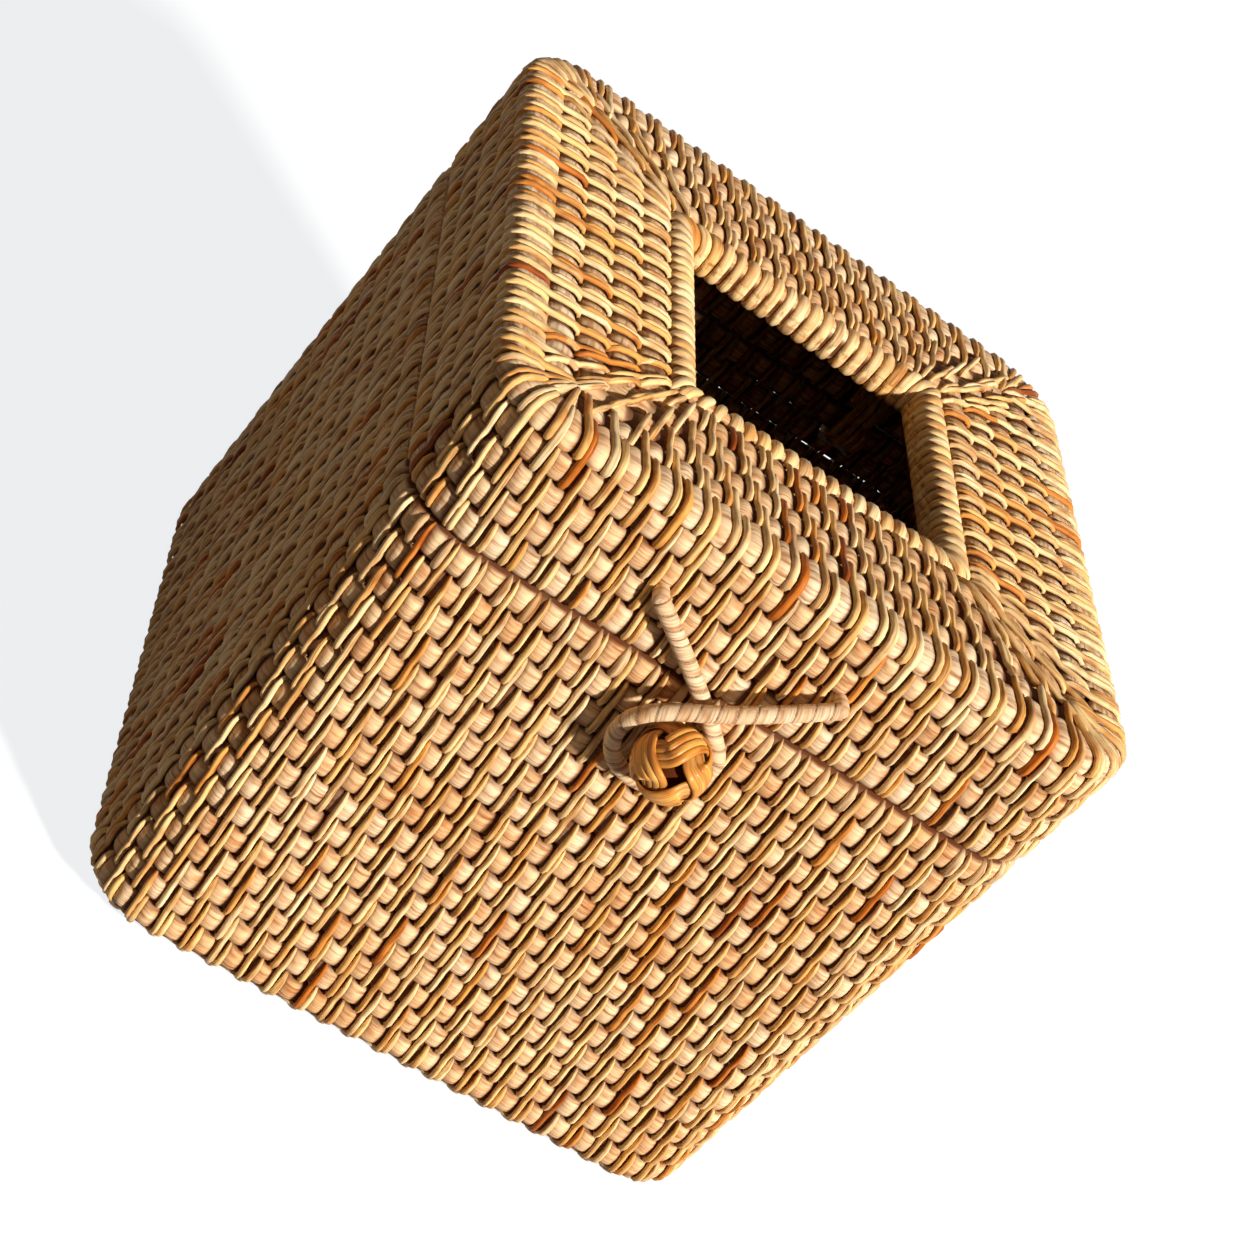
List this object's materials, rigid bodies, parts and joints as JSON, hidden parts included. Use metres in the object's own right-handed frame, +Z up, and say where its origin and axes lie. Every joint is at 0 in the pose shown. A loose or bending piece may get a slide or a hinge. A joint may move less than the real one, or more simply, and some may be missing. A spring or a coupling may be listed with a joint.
{
  "type": "tissue box cover",
  "caption": "Square coiled-rattan tissue box with a lashed-on hinged lid, a square tissue opening in the top and a cane loop that hooks over a woven ball in front.",
  "frame": {"origin": "middle of the underside, where the box stands", "axes": "+Z up, the front with the ball faces -Y, +X to the right of a person who faces the front"},
  "size_m": [0.13, 0.1466, 0.1326],
  "materials": {
    "rattan_core": "bare rattan core, matt, bound with thin cane",
    "cane_binding": "split cane with its skin on, satin",
    "amber_cane": "woven amber cane, satin",
    "wrapped_cane": "rattan wrapped with thin pale cane, matt"
  },
  "bodies": {
    "base": {"base_coil_01": "rattan_core", "base_coil_02": "rattan_core", "base_coil_03": "rattan_core", "base_coil_04": "rattan_core", "base_coil_05": "rattan_core", "base_coil_06": "rattan_core", "base_coil_07": "rattan_core", "base_coil_08": "rattan_core", "base_coil_09": "rattan_core", "base_coil_10": "rattan_core", "base_coil_11": "rattan_core", "base_coil_12": "rattan_core", "base_coil_13": "rattan_core", "base_coil_14": "rattan_core", "base_coil_15": "rattan_core", "base_coil_16": "rattan_core", "base_rim_coil": "rattan_core", "foot_coil": "rattan_core", "floor_coil_1": "rattan_core", "floor_coil_2": "rattan_core", "floor_coil_3": "rattan_core", "floor_coil_4": "rattan_core", "floor_coil_5": "rattan_core", "floor_coil_6": "rattan_core", "floor_coil_7": "rattan_core", "floor_coil_8": "rattan_core", "floor_centre": "rattan_core", "hinge_lashing_left": "cane_binding", "hinge_lashing_right": "cane_binding", "button_ball": "amber_cane", "button_tie": "amber_cane"},
    "lid": {"lid_rim_coil": "rattan_core", "lid_coil_2": "rattan_core", "lid_coil_3": "rattan_core", "lid_coil_4": "rattan_core", "lid_edge_coil": "rattan_core", "lid_top_coil_1": "rattan_core", "lid_top_coil_2": "rattan_core", "lid_top_coil_3": "rattan_core", "lid_top_coil_4": "rattan_core", "opening_rim": "cane_binding", "loop_anchor_left": "wrapped_cane", "loop_anchor_right": "wrapped_cane"},
    "loop": {"loop_cord": "wrapped_cane"}
  },
  "joints": [
    {"name": "lid_hinge", "type": "hinge", "parent": "base", "child": "lid", "pos_m": [0, 0.0627, 0.10795], "axis": [-1, 0, 0], "range_deg": [0, 100]},
    {"name": "loop_swing", "type": "hinge", "parent": "lid", "child": "loop", "pos_m": [-0.005, -0.0668, 0.11665], "axis": [-1, 0, 0], "range_deg": [0, 140]}
  ]
}
